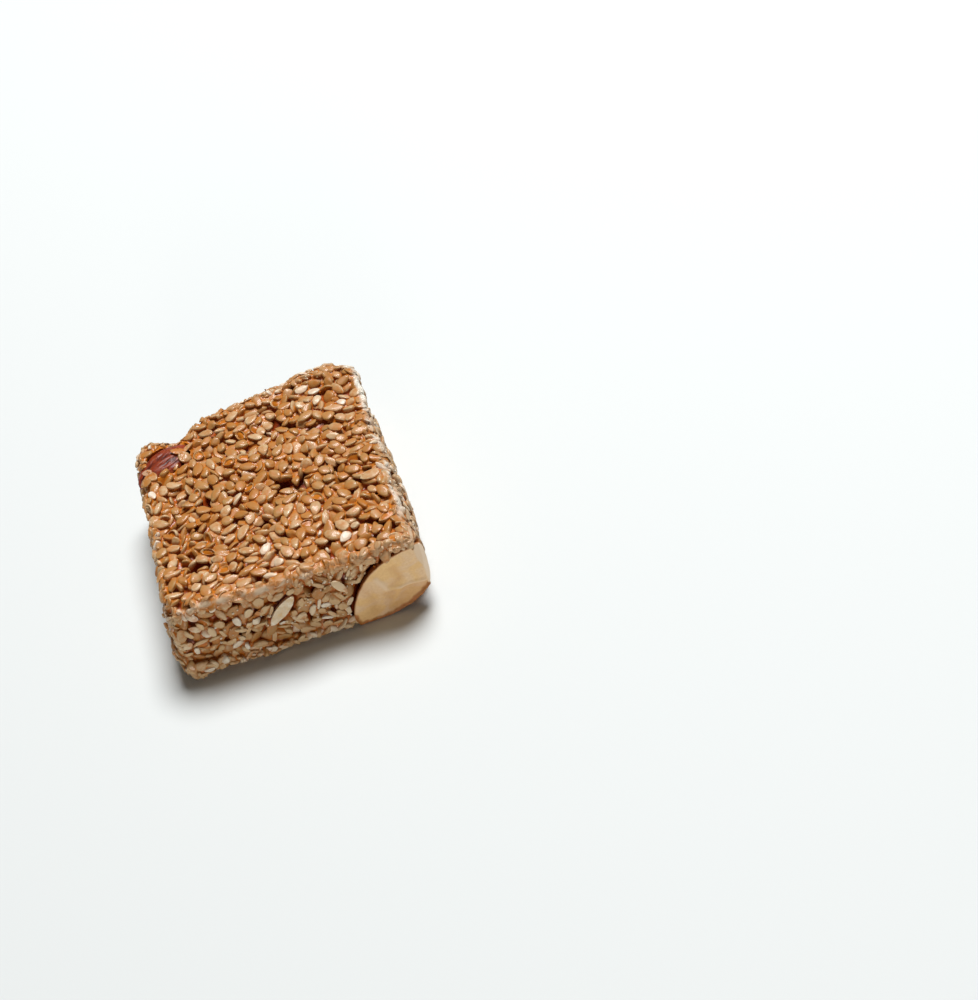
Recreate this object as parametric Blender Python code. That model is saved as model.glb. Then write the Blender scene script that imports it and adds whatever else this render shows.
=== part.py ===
"""A hand-cut slab of sesame brittle, lying on its rolled underside.

Roasted sesame seeds bound in caramel are one uneven block. Three nut pieces are set in it:
a big nut half whose split face shows in the lower right corner of the front, a red-skinned
nut in the top by the back left corner, and a pale nut sliver in the front.

The front is -Y and the top is +Z. The origin is under the middle of the slab, at its base.
"""

import math
from collections import namedtuple

import bmesh
import bpy
from mathutils import Matrix, Vector, noise

MM = 0.001

# The block
WIDTH = 48 * MM
DEPTH = 54.2 * MM
THICKNESS = 17.8 * MM
BACK_SKEW = 5.6 * MM  # the right end of the back cut lies this much farther back than the left end
FRONT_SKEW = 1.8 * MM  # and the right end of the front cut this much farther forward
BACK_SWELL = 0.8 * MM  # how far the back cut bows outwards in its middle
EDGE_RADIUS = 1.5 * MM
LEFT_FLARE = 1.2 * MM  # how far the left and right cuts swell outwards at mid-height
RIGHT_FLARE = 2.0 * MM
FLARE_REACH = 0.6  # the right swelling dies away over this share of the depth, towards the back
SKIRT = 0.5 * MM  # height of the smooth band above the underside, where the relief fades out

# The surface: its grid, then the size and height of its two reliefs
CELL = 2.1 * MM
EDGE_STEP = 0.35  # one more grid line runs in each rounded edge, this share of its radius in
LUMP_SIZE, LUMP_HEIGHT = 8 * MM, 0.9 * MM
GRAIN_SIZE, GRAIN_HEIGHT = 3.4 * MM, 0.65 * MM
RELIEF_START = Vector((58, 33, 50)) * MM  # where in the endless relief the block is taken from

# Nuts
GAP = 0.3 * MM  # left between a nut and its pocket
FACE_PROUD = 0.1 * MM  # how far a split face stands out of the front
NUT_ROUND, NUT_RINGS = 28, 14
NUT_POINT, NUT_BLUNT = 0.16, 0.05  # how much slimmer than an ellipsoid its two ends are

# Chips and voids in the top's edges and face: the place from above, how wide and how deep each is,
# and which way it is pressed in
Dent = namedtuple("Dent", "x y radius depth push")
HALF_W, HALF_D = WIDTH / 2, DEPTH / 2
DENTS = (
    Dent(-HALF_W, -HALF_D, 7.5 * MM, 2.6 * MM, (1, 1, -1)),  # chipped front left corner
    Dent(HALF_W, HALF_D + BACK_SKEW / 2, 6.0 * MM, 1.6 * MM, (-1, -1, -1)),  # worn back right corner
    Dent(-16.0 * MM, HALF_D - 2.4 * MM, 5.0 * MM, 1.9 * MM, (0, -1, -1)),  # notch by the red nut
    Dent(9.0 * MM, -HALF_D, 4.6 * MM, 1.7 * MM, (0, 1, -1)),  # nick in the front's top edge
    Dent(5.4 * MM, -1.4 * MM, 4.2 * MM, 1.7 * MM, (0, 0, -1)),  # voids between the seeds on top
    Dent(-1.8 * MM, -9.2 * MM, 3.6 * MM, 1.4 * MM, (0, 0, -1)),
    Dent(-16.8 * MM, -14.8 * MM, 4.4 * MM, 1.6 * MM, (0, 0, -1)),
    Dent(4.2 * MM, 23.4 * MM, 3.6 * MM, 1.3 * MM, (0, 0, -1)),
)

# Each nut piece: its middle, its half sizes along its length, depth and breadth, and how it is
# turned, as a tip in the plane of the front and a turn seen from above
Nut = namedtuple("Nut", "middle length depth breadth tip turn")
NUT_HALF = Nut(Vector((18.6, -27.8, 7.0)) * MM, 11.4 * MM, 5.0 * MM, 6.7 * MM, math.radians(36), 0)
NUT_SLIVER = Nut(Vector((-3.5, -26.9, 10.2)) * MM, 4.1 * MM, 1.6 * MM, 1.3 * MM, math.radians(43), 0)
RED_NUT = Nut(Vector((-19.1, 17.5, 15.9)) * MM, 6.9 * MM, 4.3 * MM, 2.9 * MM, 0, math.radians(33))
RIGHT_CUT = Vector((24.6, -27.8, 0)) * MM  # where the knife left the nut half, and its direction
RIGHT_CUT_TURN = math.radians(20)
CORNER_SHIFT = Vector((4.5, 0, -4.5)) * MM  # the block is broken away under the nut half this far
NUT_FOOT = 0.25 * MM  # the nut half clears what the slab rests on by this much

SHARP_ANGLE = math.radians(40)  # edges bent more than this stay sharp


def clear_scene():
    for obj in list(bpy.data.objects):
        bpy.data.objects.remove(obj)


def new_collection(name):
    collection = bpy.data.collections.new(name)
    bpy.context.scene.collection.children.link(collection)
    return collection


def new_material(name, colour, roughness):
    material = bpy.data.materials.new(name)
    material.use_nodes = True
    shader = material.node_tree.nodes["Principled BSDF"]
    shader.inputs["Base Color"].default_value = (*colour, 1)
    shader.inputs["Roughness"].default_value = roughness
    shader.inputs["Metallic"].default_value = 0
    return material


def new_object(name, bm, collection, material=None):
    mesh = bpy.data.meshes.new(name)
    bm.to_mesh(mesh)
    bm.free()
    if material:
        mesh.materials.append(material)
    obj = bpy.data.objects.new(name, mesh)
    collection.objects.link(obj)
    return obj


def smooth_step(value):
    value = max(0.0, min(1.0, value))
    return value * value * (3 - 2 * value)


def relief(point, size, height):
    """Even bumps of about this size and height, the same on every run."""
    return noise.noise((point + RELIEF_START) / size) * height


def cut_places(length):
    """Where the grid crosses one side of the block: close together in the rounded edges, even between."""
    flat = length / 2 - EDGE_RADIUS
    edge = length / 2 - EDGE_RADIUS * EDGE_STEP
    cells = round(2 * flat / CELL)
    return [-edge, *(flat * (2 * i / cells - 1) for i in range(cells + 1)), edge]


def gridded_box(size):
    """A box centred on the origin, its sides crossed by a square grid."""
    bm = bmesh.new()
    bmesh.ops.create_cube(bm, size=1, matrix=Matrix.Diagonal((*size, 1)))
    for axis in range(3):
        across = Vector((0, 0, 0))
        across[axis] = 1
        for place in cut_places(size[axis]):
            everything = bm.verts[:] + bm.edges[:] + bm.faces[:]
            bmesh.ops.bisect_plane(bm, geom=everything, plane_co=across * place, plane_no=across)
    return bm


def rounded(point, half):
    """The point moved onto a box with round edges, and the surface's direction there."""
    core = Vector(max(r - h, min(h - r, c)) for c, h, r in zip(point, half, [EDGE_RADIUS] * 3))
    outwards = (point - core).normalized()
    return core + outwards * EDGE_RADIUS, outwards


def hand_cut(point, half):
    """The same point on the slab's own outline: the skewed front and back, and the swollen sides."""
    across = (point.x / half.x + 1) / 2
    along = (point.y / half.y + 1) / 2
    height = (point.z / half.z + 1) / 2
    swell = math.sin(math.pi * height)
    front = -half.y - FRONT_SKEW * (across - 0.5)
    back = half.y + BACK_SKEW * (across - 0.5) + BACK_SWELL * math.sin(math.pi * across)
    left = -half.x - LEFT_FLARE * swell
    right = half.x + RIGHT_FLARE * swell * smooth_step((1 - along) / FLARE_REACH)
    return Vector((left + (right - left) * across, front + (back - front) * along, height * THICKNESS))


def pressed_in(point):
    """How far, and which way, the chips and voids move this point."""
    moved = Vector((0, 0, 0))
    for dent in DENTS:
        away = (point - Vector((dent.x, dent.y, THICKNESS))).length
        moved += Vector(dent.push).normalized() * dent.depth * smooth_step(1 - away / dent.radius)
    return moved


def sesame_block(collection, material):
    half = Vector((WIDTH, DEPTH, THICKNESS)) / 2
    bm = gridded_box(half * 2)
    for vert in bm.verts:
        on_box, outwards = rounded(vert.co, half)
        point = hand_cut(on_box, half)
        bump = relief(point, LUMP_SIZE, LUMP_HEIGHT) + relief(point, GRAIN_SIZE, GRAIN_HEIGHT)
        off_base = smooth_step(point.z / SKIRT)
        vert.co = point + outwards * bump * off_base + pressed_in(point)
        vert.co.z = max(0.0, vert.co.z)
    bmesh.ops.recalc_face_normals(bm, faces=bm.faces)
    return new_object("sesame_slab", bm, collection, material)


def nut_shape(nut, grown=0.0, shift=Vector((0, 0, 0))):
    """A whole nut, blunt at one end and pointed at the other, grown evenly by a margin."""
    bm = bmesh.new()
    bmesh.ops.create_uvsphere(bm, u_segments=NUT_ROUND, v_segments=NUT_RINGS, radius=1,
                              matrix=Matrix.Rotation(math.pi / 2, 4, "Y"))
    for vert in bm.verts:
        slim = 1 - NUT_POINT * smooth_step(-vert.co.x) - NUT_BLUNT * smooth_step(vert.co.x)
        vert.co.x *= nut.length + grown
        vert.co.y *= nut.depth * slim + grown
        vert.co.z *= nut.breadth * slim + grown
    turn = Matrix.Rotation(nut.turn, 4, "Z") @ Matrix.Rotation(-nut.tip, 4, "Y")
    bmesh.ops.transform(bm, matrix=Matrix.Translation(nut.middle + shift) @ turn, verts=bm.verts)
    return bm


def cut_flat(bm, place, outwards):
    """Takes off what lies beyond a plane and closes the cut with a flat face."""
    everything = bm.verts[:] + bm.edges[:] + bm.faces[:]
    bmesh.ops.bisect_plane(bm, geom=everything, plane_co=place, plane_no=outwards, clear_outer=True)
    rim = [edge for edge in bm.edges if edge.is_boundary]
    bmesh.ops.holes_fill(bm, edges=rim)
    bmesh.ops.triangulate(bm, faces=[face for face in bm.faces if len(face.verts) > 4])


def nut_half(collection, material):
    """The split face is flush with the front, and the knife has cut the far end off by the right side."""
    bm = nut_shape(NUT_HALF)
    cut_flat(bm, NUT_HALF.middle, Vector((0, -1, 0)))
    cut_flat(bm, RIGHT_CUT, Vector((math.cos(RIGHT_CUT_TURN), -math.sin(RIGHT_CUT_TURN), 0)))
    cut_flat(bm, Vector((0, 0, NUT_FOOT)), Vector((0, 0, -1)))
    return new_object("nut_half", bm, collection, material)


def nut_sliver(collection, material):
    bm = nut_shape(NUT_SLIVER)
    cut_flat(bm, NUT_SLIVER.middle - Vector((0, FACE_PROUD, 0)), Vector((0, -1, 0)))
    return new_object("nut_sliver", bm, collection, material)


def red_nut(collection, material):
    return new_object("red_nut", nut_shape(RED_NUT), collection, material)


def cut_pocket(block, name, nut, cutters, shift=Vector((0, 0, 0))):
    cutter = new_object(name, nut_shape(nut, GAP, shift), cutters)
    cutter.hide_render = True
    cutter.display_type = "WIRE"
    modifier = block.modifiers.new(name, "BOOLEAN")
    modifier.operation = "DIFFERENCE"
    modifier.solver = "EXACT"
    modifier.object = cutter


def stand_on_origin(parts, others):
    """Hangs everything from one empty, and moves that so that the slab's base is centred on the origin."""
    depsgraph = bpy.context.evaluated_depsgraph_get()
    shapes = [part.evaluated_get(depsgraph).data for part in parts]
    corners = [vert.co for shape in shapes for vert in shape.vertices]
    lowest = Vector(map(min, zip(*corners)))
    highest = Vector(map(max, zip(*corners)))
    middle = (lowest + highest) / 2
    base = bpy.data.objects.new("slab_base", None)
    bpy.context.scene.collection.objects.link(base)
    base.location = (-middle.x, -middle.y, -lowest.z)
    for obj in (*parts, *others):
        obj.parent = base


def main():
    clear_scene()
    slab = new_collection("sesame_brittle_slab")
    cutters = new_collection("cutters")
    cutters.hide_render = True

    caramel = new_material("sesame_and_caramel", (0.55, 0.31, 0.12), 0.45)
    nut_flesh = new_material("nut_flesh", (0.62, 0.44, 0.25), 0.6)
    red_skin = new_material("red_nut_skin", (0.30, 0.09, 0.05), 0.4)

    block = sesame_block(slab, caramel)
    cut_pocket(block, "pocket_nut_half", NUT_HALF, cutters)
    cut_pocket(block, "broken_corner", NUT_HALF, cutters, CORNER_SHIFT)
    cut_pocket(block, "pocket_nut_sliver", NUT_SLIVER, cutters)
    cut_pocket(block, "pocket_red_nut", RED_NUT, cutters)

    nuts = [nut_half(slab, nut_flesh), nut_sliver(slab, nut_flesh), red_nut(slab, red_skin)]
    for part in (block, *nuts):
        part.data.shade_smooth()
        part.data.set_sharp_from_angle(angle=SHARP_ANGLE)
    stand_on_origin([block, *nuts], list(cutters.objects))


main()
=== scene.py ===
import functools
import itertools
import math
from collections import namedtuple

import bmesh
import bpy
import numpy as np
from bpy.props import FloatProperty, FloatVectorProperty, IntProperty, PointerProperty
from mathutils import Color, Matrix, Vector, kdtree, noise
from mathutils.bvhtree import BVHTree


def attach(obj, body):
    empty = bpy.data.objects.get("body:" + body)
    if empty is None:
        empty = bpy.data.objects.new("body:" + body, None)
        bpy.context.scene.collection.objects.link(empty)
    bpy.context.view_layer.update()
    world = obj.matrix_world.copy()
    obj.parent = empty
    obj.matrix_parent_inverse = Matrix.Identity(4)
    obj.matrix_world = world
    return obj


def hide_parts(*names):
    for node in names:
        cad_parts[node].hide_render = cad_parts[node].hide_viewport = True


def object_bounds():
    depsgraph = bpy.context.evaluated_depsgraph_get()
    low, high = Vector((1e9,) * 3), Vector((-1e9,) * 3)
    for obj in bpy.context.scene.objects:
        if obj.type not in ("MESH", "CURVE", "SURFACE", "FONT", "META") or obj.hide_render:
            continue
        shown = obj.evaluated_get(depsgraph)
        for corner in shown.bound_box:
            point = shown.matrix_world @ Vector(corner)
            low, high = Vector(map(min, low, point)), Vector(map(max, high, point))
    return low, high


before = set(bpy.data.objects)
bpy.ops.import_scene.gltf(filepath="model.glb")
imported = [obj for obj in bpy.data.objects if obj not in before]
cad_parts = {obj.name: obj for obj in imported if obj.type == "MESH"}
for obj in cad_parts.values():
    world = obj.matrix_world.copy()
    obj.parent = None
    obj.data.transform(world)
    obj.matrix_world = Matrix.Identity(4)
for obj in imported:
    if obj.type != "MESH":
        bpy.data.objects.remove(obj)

bl_info = {
    "name": "Sesame brittle slab",
    "version": (1, 0, 0),
    "blender": (4, 5, 0),
    "location": "3D View > Sidebar > Brittle",
    "description": "Dresses a slab of sesame brittle: seeds, caramel, nuts and a plain studio",
    "category": "Object",
}

MM = 0.001
CAD_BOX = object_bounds()
NUTS = ("nut_half", "nut_sliver", "red_nut")

# The slab's sides: which way each looks, and the two directions across it
Side = namedtuple("Side", "name out across up")
SIDES = (
    Side("top", (0, 0, 1), (1, 0, 0), (0, 1, 0)),
    Side("front", (0, -1, 0), (1, 0, 0), (0, 0, 1)),
    Side("back", (0, 1, 0), (-1, 0, 0), (0, 0, 1)),
    Side("left", (-1, 0, 0), (0, -1, 0), (0, 0, 1)),
    Side("right", (1, 0, 0), (0, 1, 0), (0, 0, 1)),
    Side("under", (0, 0, -1), (1, 0, 0), (0, -1, 0)),
)
GRID = 0.2 * MM  # spacing of the height grids that the seeds are laid on
SURROUNDINGS = 15  # how many cells round a place count as its surroundings
MARGIN = 3 * MM  # the grids reach this far past the slab
NOTHING = -1.0  # the height where a grid sees past the slab
FACING = 0.5  # seeds lie on what leans less than 60 degrees away from the side
TRIM_FACING = 0.3  # and those that stand out are trimmed over a little more than that
SHELF = 2 * MM  # what lies this far behind its surroundings is no part of the side

# One seed: its kind and which of the kind's forms it has, its half sizes, its turn and middle, how
# far it may stand out of a cut, and its tone, from light to dark
Seed = namedtuple("Seed", "kind form half turn middle stand_out tone")
GOLDEN, PALE, DARK, HULL, CRUMB = "golden", "pale", "dark", "hull", "crumb"
SIZE_SPREAD = (0.13, 0.15, 0.18)  # how much seeds differ in length, width and thickness
SIZE_LIMITS = (0.65, 1.3)  # the smallest and the largest, as shares of a whole seed

# How seeds lie on each side: how far they are tipped, in degrees, how deep the layer is, how far
# they stand out, and the share of them that the knife went through
Laying = namedtuple("Laying", "tip bed stand_out cut")
LAYINGS = {
    "top": Laying(30, 1.7 * MM, 0.45 * MM, 0),
    "front": Laying(34, 1.5 * MM, 0.30 * MM, 0.35),
    "back": Laying(34, 1.5 * MM, 0.45 * MM, 0.35),
    "left": Laying(34, 1.5 * MM, 0.30 * MM, 0.35),
    "right": Laying(34, 1.5 * MM, 0.30 * MM, 0.35),
    "under": Laying(4, 1.1 * MM, 0, 0),
}

RESTS_ON = (0.94, 0.45)  # a flat seed rests on all but 6% of what is under it, one on edge on half
CUT_SINK = 0.15 * MM  # a seed that the knife went through was at least this far under the side
CUT_LIP = 0.1 * MM  # and is left this far out of it at most
STAND_OUT = (0.2, 0.6)  # how far a whole seed may stand out, in millimetres
CUT_STAND_OUT = 0.05  # and one that the knife went through
MISSES = 150  # a side is full once this many seeds running find no room
SPOTS = 40  # each seed is offered this many places
ROOMIEST = 8  # and tried on this many of them
LEAST_SEEN = 0.08  # a seed of which less than this share shows is left out

# Seeds whose kind is set, by where they lie across and up their side in millimetres
ODD_SEEDS = (
    ("top", PALE, ((-20.0, 20.2), (-23.6, 18.4), (-24.0, 13.8), (-8.4, 14.1), (-8.0, 5.7), (-22.8, 8.7),
                   (-6.2, -1.4), (4.9, 24.2), (7.6, -22.8), (-0.7, -23.2), (12.0, -21.5))),
    ("top", HULL, ((-19.3, -5.2), (-13.5, -7.5), (18.3, -0.8), (19.8, 2.9), (5.1, 22.5))),
    ("front", PALE, ((-9.0, 12.9), (-15.7, 16.1), (-19.3, 10.1), (-16.9, 10.8), (-20.5, 3.0), (-17.5, 2.2),
                     (-23.0, 2.0), (-21.5, 6.2), (-14.0, 4.6), (-11.5, 2.0), (1.5, 8.8), (-3.0, 3.4),
                     (5.0, 4.0), (7.0, 5.5))),
)
PALE_SHARE = {"top": 0.03, "under": 0.05}  # elsewhere the knife laid more of them open
CUT_PALE_SHARE = 0.12
PALE_SIZE = 0.82  # pale seeds are this much of a whole seed's size
DARK_SHARE = 0.08
HULL_SHARE = 0.04

# Seeds that lie over the red nut's front side, across and up the top in millimetres
NUT_SEEDS = (
    (-17.0, 14.6), (-19.4, 13.2), (-14.6, 16.0), (-21.8, 12.6), (-24.0, 17.6), (-15.6, 20.6), (-23.2, 11.9),
    (-20.4, 14.9), (-18.0, 16.0), (-15.4, 17.4), (-22.7, 14.2), (-13.7, 18.6),
)

# Holes between the seeds: across, up and radius in millimetres
VOIDS = {
    "top": ((3.6, -1.2, 0.7), (6.8, -3.2, 0.7), (-1.9, -9.6, 0.7), (-19.5, -14.4, 0.7), (-16.6, -15.6, 0.7),
            (-14.0, -16.6, 0.5), (4.2, 22.8, 0.6), (-12.5, 1.0, 0.3), (13.5, 12.0, 0.3), (-2.0, 12.5, 0.3)),
    "front": ((-7.6, 9.4, 0.4), (-10.4, 15.0, 0.3), (9.5, 13.0, 0.4), (0.8, 6.2, 0.3), (16.0, 13.9, 0.6),
              (17.6, 15.0, 0.7), (19.4, 15.6, 0.6)),
}
LOOSE_VOIDS = 7  # and this many more on every side but the underside
LOOSE_VOID = (0.15 * MM, 0.4 * MM)  # their smallest and largest radius
VOID_DEPTH = 1.3 * MM  # how much deeper the caramel lies in a hole
VOID_RIM = 0.4 * MM  # and this far round it


# ---------------------------------------------------------------- settings

class SeedSettings(bpy.types.PropertyGroup):
    length: FloatProperty(name="Length", description="A whole seed's length",
                          default=3.25 * MM, unit="LENGTH", precision=4)
    width: FloatProperty(name="Width", description="A whole seed's width",
                         default=2.0 * MM, unit="LENGTH", precision=4)
    thickness: FloatProperty(name="Thickness", description="A whole seed's thickness",
                             default=0.98 * MM, unit="LENGTH", precision=4)
    draw: IntProperty(name="Draw", description="Where the random draws start", default=7)


def colour(name, description, default):
    return FloatVectorProperty(name=name, description=description, subtype="COLOR", default=default)


class ColourSettings(bpy.types.PropertyGroup):
    light_seed: colour("Light seed", "The palest roasted seeds", (0.65, 0.485, 0.285))
    seed: colour("Seed", "Most roasted seeds", (0.42, 0.242, 0.086))
    dark_seed: colour("Dark seed", "The most roasted seeds", (0.38, 0.15, 0.028))
    cut_seed: colour("Cut seed", "A seed's inside", (0.62, 0.435, 0.22))
    pale_seed: colour("Pale seed", "Seeds that stayed white", (0.80, 0.74, 0.62))
    nut: colour("Nut", "The split face of the nut", (0.85, 0.575, 0.26))
    fresh_nut: colour("Fresh nut", "Where the knife went through the nut", (0.83, 0.62, 0.415))
    nut_skin: colour("Nut skin", "What is left of the nut's skin", (0.46, 0.17, 0.05))
    red_skin: colour("Red skin", "The red nut's skin", (0.29, 0.04, 0.01))
    # The dark red skin colour paints the skin's darker streaks and also the painted shade in the red nut's
    # folds
    dark_red_skin_and_fold_shade: colour("Dark red skin", "The red nut's skin in its folds", (0.07, 0.012, 0.008))
    caramel: colour("Caramel", "Caramel in a thin film", (0.50, 0.155, 0.011))
    # Painted shade: the caramel that lies deeper in the gaps and voids is given this darker colour
    recess_shaded_caramel: colour("Deep caramel", "Caramel in the voids", (0.30, 0.042, 0.003))
    dust: colour("Dust", "What the knife rubbed along the cuts", (0.50, 0.328, 0.18))
    # A pale sugar film, whitened further along the top of the right side as a painted highlight
    sugar: colour("Sugar", "The pale film along the right edge", (0.80, 0.745, 0.64))


class StageSettings(bpy.types.PropertyGroup):
    lens: FloatProperty(name="Lens", description="Focal length in millimetres", default=64.8)
    roll: FloatProperty(name="Roll", description="Turn of the camera about its own axis",
                        default=math.radians(-17.63), subtype="ANGLE")
    place: FloatVectorProperty(name="Camera", description="Where the camera stands",
                               default=(29.6 * MM, -270.0 * MM, 251.9 * MM), subtype="TRANSLATION")
    target: FloatVectorProperty(name="Target", description="The point on the floor that it looks at",
                                default=(41.0 * MM, -7.2 * MM, 0), subtype="TRANSLATION")


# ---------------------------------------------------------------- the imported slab's surface

def tree_of(*names):
    """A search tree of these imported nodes' faces."""
    points, faces = [], []
    for name in names:
        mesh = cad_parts[name].data
        faces += [[corner + len(points) for corner in face.vertices] for face in mesh.polygons]
        points += [vert.co.copy() for vert in mesh.vertices]
    return BVHTree.FromPolygons(points, faces)


class Ground:
    """One side of the slab as a grid of heights, and the heap of seeds laid on it so far."""

    def __init__(self, side, block, nuts):
        self.side = side
        self.axes = np.array((side.across, side.up, side.out), float)
        corners = np.array(list(itertools.product(*zip(*CAD_BOX)))) @ self.axes.T
        self.low = corners.min(0)[:2] - MARGIN
        self.cells = np.ceil((corners.max(0)[:2] + MARGIN - self.low) / GRID).astype(int)
        self.skin = np.full(self.cells, NOTHING)
        self.facing = np.zeros(self.cells)
        nut_skin = np.full(self.cells, NOTHING)
        out = Vector(side.out)
        above = corners[:, 2].max() + MARGIN
        for (i, across), (j, up) in itertools.product(*map(enumerate, self.middles())):
            start = Vector(self.axes[0]) * across + Vector(self.axes[1]) * up + out * above
            hit, normal, _, _ = block.ray_cast(start, -out)
            if hit:
                self.skin[i, j] = hit.dot(out)
                self.facing[i, j] = normal.dot(out)
            hit, _, _, _ = nuts.ray_cast(start, -out)
            if hit:
                nut_skin[i, j] = hit.dot(out)
        outer = spread_out(np.maximum(self.skin, nut_skin), SURROUNDINGS, fill=False)
        for heights in (self.skin, nut_skin):
            heights[heights < outer - SHELF] = NOTHING
        self.open = (self.facing > FACING) & (self.skin > nut_skin)
        laying = LAYINGS[side.name]
        self.heap = np.maximum(self.skin - laying.bed, nut_skin)
        self.heap[self.skin == NOTHING] = NOTHING
        self.owner = np.full(self.cells, -1)
        self.void = spread_out(np.where(nut_skin > self.skin, 0, NOTHING), cells=2) == 0
        highest = np.maximum(self.skin, nut_skin)
        self.limit = spread_out(np.where(self.facing > TRIM_FACING, highest, NOTHING))

    def cell_of(self, points):
        """The grid cell that each point, in this side's axes, lies over."""
        cells = ((points[:, :2] - self.low) / GRID).astype(int)
        return tuple(np.clip(cells, 0, self.cells - 1).T)

    def cell_at(self, place):
        return tuple(int(cell[0]) for cell in self.cell_of(np.array([place[:2]])))

    def middle_of(self, cell):
        return self.low + (np.array(cell) + 0.5) * GRID

    def middles(self):
        """The middles of all cells, across and up."""
        return [low + (np.arange(count) + 0.5) * GRID for low, count in zip(self.low, self.cells)]


def voids_on(ground, rng):
    """The holes left on one side: the named ones, and some loose ones."""
    holes = [(across * MM, up * MM, radius * MM) for across, up, radius in VOIDS.get(ground.side.name, ())]
    if ground.side.name != "under":
        spots = np.argwhere(ground.open)
        for cell in spots[rng.integers(len(spots), size=LOOSE_VOIDS)]:
            holes.append((*ground.middle_of(cell), rng.uniform(*LOOSE_VOID)))
    return holes


def spread_out(heights, cells=9, fill=True):
    """Spreads the greatest height of each place over its surroundings, or only into what is empty."""
    heights = heights.copy()
    for _ in range(cells):
        padded = np.pad(heights, 1, constant_values=NOTHING)
        near = np.maximum.reduce([padded[2:, 1:-1], padded[:-2, 1:-1], padded[1:-1, 2:], padded[1:-1, :-2]])
        heights = np.where(heights == NOTHING, near, heights) if fill else np.maximum(heights, near)
    return heights


@functools.cache
def grounds():
    block = tree_of("sesame_slab")
    nuts = tree_of(*NUTS)
    made = {side.name: Ground(side, block, nuts) for side in SIDES}
    rng = np.random.default_rng(bpy.context.scene.brittle_seeds.draw)
    for ground in made.values():
        ground.holes = voids_on(ground, rng)
        acrosses, ups = ground.middles()
        for across, up, radius in ground.holes:
            ground.void |= np.hypot(acrosses[:, None] - across, ups - up) < radius
    return made


# ---------------------------------------------------------------- laying the seeds

def turned(rng, tip_degrees):
    """A seed's axes when it lies flat, spun at random and tipped some way over."""
    spin = Matrix.Rotation(rng.uniform(0, 2 * math.pi), 3, "Z")
    way = rng.uniform(0, 2 * math.pi)
    tip = math.radians(min(88, abs(rng.normal(0, tip_degrees * rng.choice((0.7, 1.9))))))
    tipped = Matrix.Rotation(tip, 3, Vector((math.cos(way), math.sin(way), 0)))
    return np.array(tipped @ spin)


def print_of(half, turn):
    """The cells that a seed covers round its middle, and its underside and top over them."""
    shape = turn @ np.diag(1 / half**2) @ turn.T
    reach = np.ceil(np.sqrt(((turn[:2] * half) ** 2).sum(1)) / GRID).astype(int)
    across, up = np.mgrid[-reach[0]:reach[0] + 1, -reach[1]:reach[1] + 1] * GRID
    slope = shape[0, 2] * across + shape[1, 2] * up
    flat = shape[0, 0] * across**2 + 2 * shape[0, 1] * across * up + shape[1, 1] * up**2 - 1
    inside = slope**2 - shape[2, 2] * flat
    root = np.sqrt(inside.clip(0)) / shape[2, 2]
    middle = -slope / shape[2, 2]
    return inside > 0, middle - root, middle + root


def window_of(cell, reach):
    return tuple(slice(int(c) - r, int(c) + r + 1) for c, r in zip(cell, reach))


def lay_on(ground, rng, sizes):
    """Lays seeds on one side until no more find room, each where it comes to rest lowest."""
    name = ground.side.name
    laying = LAYINGS[name]
    spots = np.argwhere(ground.open)
    laid, covers_of = [], []

    def lay(cells, most, over_nuts=False):
        """Lays one seed on the lowest of these cells, unless its lid stands out by more than most."""
        half = sizes * rng.normal(1, SIZE_SPREAD).clip(*SIZE_LIMITS) / 2
        world_turn = turned(rng, laying.tip)
        if name != "top":
            world_turn = ground.axes.T @ world_turn
        cut = rng.random() < laying.cut
        covers, under, over = print_of(half, ground.axes @ world_turn)
        reach = (np.array(covers.shape) - 1) // 2
        steep = 1 - abs(ground.axes[2] @ world_turn[:, 2])  # on edge, it sinks between the others
        best = None
        for cell in cells:
            window = window_of(cell, reach)
            if not over_nuts and (ground.void[window] & covers).any():
                continue
            rests = np.sort((ground.heap[window] - under)[covers])
            rest = rests[int(len(rests) * (RESTS_ON[0] - RESTS_ON[1] * steep))]
            lid = rest + (0 if cut else over[covers].max()) - ground.skin[tuple(cell)]
            if best is None or lid < best[0]:
                best = (lid, rest, cell, window)
        if best is None or best[0] > (-CUT_SINK if cut else most):
            return False
        _, rest, cell, window = best
        top = rest + over
        if cut:
            top = np.minimum(top, ground.skin[tuple(cell)] + CUT_LIP)
        raised = covers & (top > ground.heap[window])
        ground.heap[window] = np.where(raised, top, ground.heap[window])
        ground.owner[window] = np.where(raised, len(laid), ground.owner[window])
        middle = ground.axes.T @ (*ground.middle_of(cell), rest)
        stand_out = (CUT_STAND_OUT if cut else rng.uniform(*STAND_OUT)) * MM
        kind = kind_of(rng, name)
        if kind == PALE:
            half = half * PALE_SIZE
        laid.append(Seed(kind, int(rng.integers(FORMS)), half, world_turn, middle, stand_out, rng.random()))
        covers_of.append(covers.sum())
        return True

    misses = 0
    while misses < MISSES:
        tries = spots[rng.integers(len(spots), size=SPOTS)]
        room = ground.skin[tuple(tries.T)] - ground.heap[tuple(tries.T)]
        misses = 0 if lay(tries[np.argsort(-room)[:ROOMIEST]], laying.stand_out) else misses + 1
    for place in NUT_SEEDS if name == "top" else ():
        lay([ground.cell_at(Vector(place) * MM)], math.inf, over_nuts=True)
    seen = np.bincount(ground.owner[ground.owner >= 0], minlength=len(laid))
    kept = [seed for seed, cells, covers in zip(laid, seen, covers_of) if cells > LEAST_SEEN * covers]
    for side, kind, places in ODD_SEEDS:
        for place in places if side == name else ():
            away = [math.dist((ground.axes @ seed.middle)[:2], Vector(place) * MM) for seed in kept]
            nearest = int(np.argmin(away))
            size = PALE_SIZE if kind == PALE and kept[nearest].kind != PALE else 1
            kept[nearest] = kept[nearest]._replace(kind=kind, half=kept[nearest].half * size)
    return kept


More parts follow.
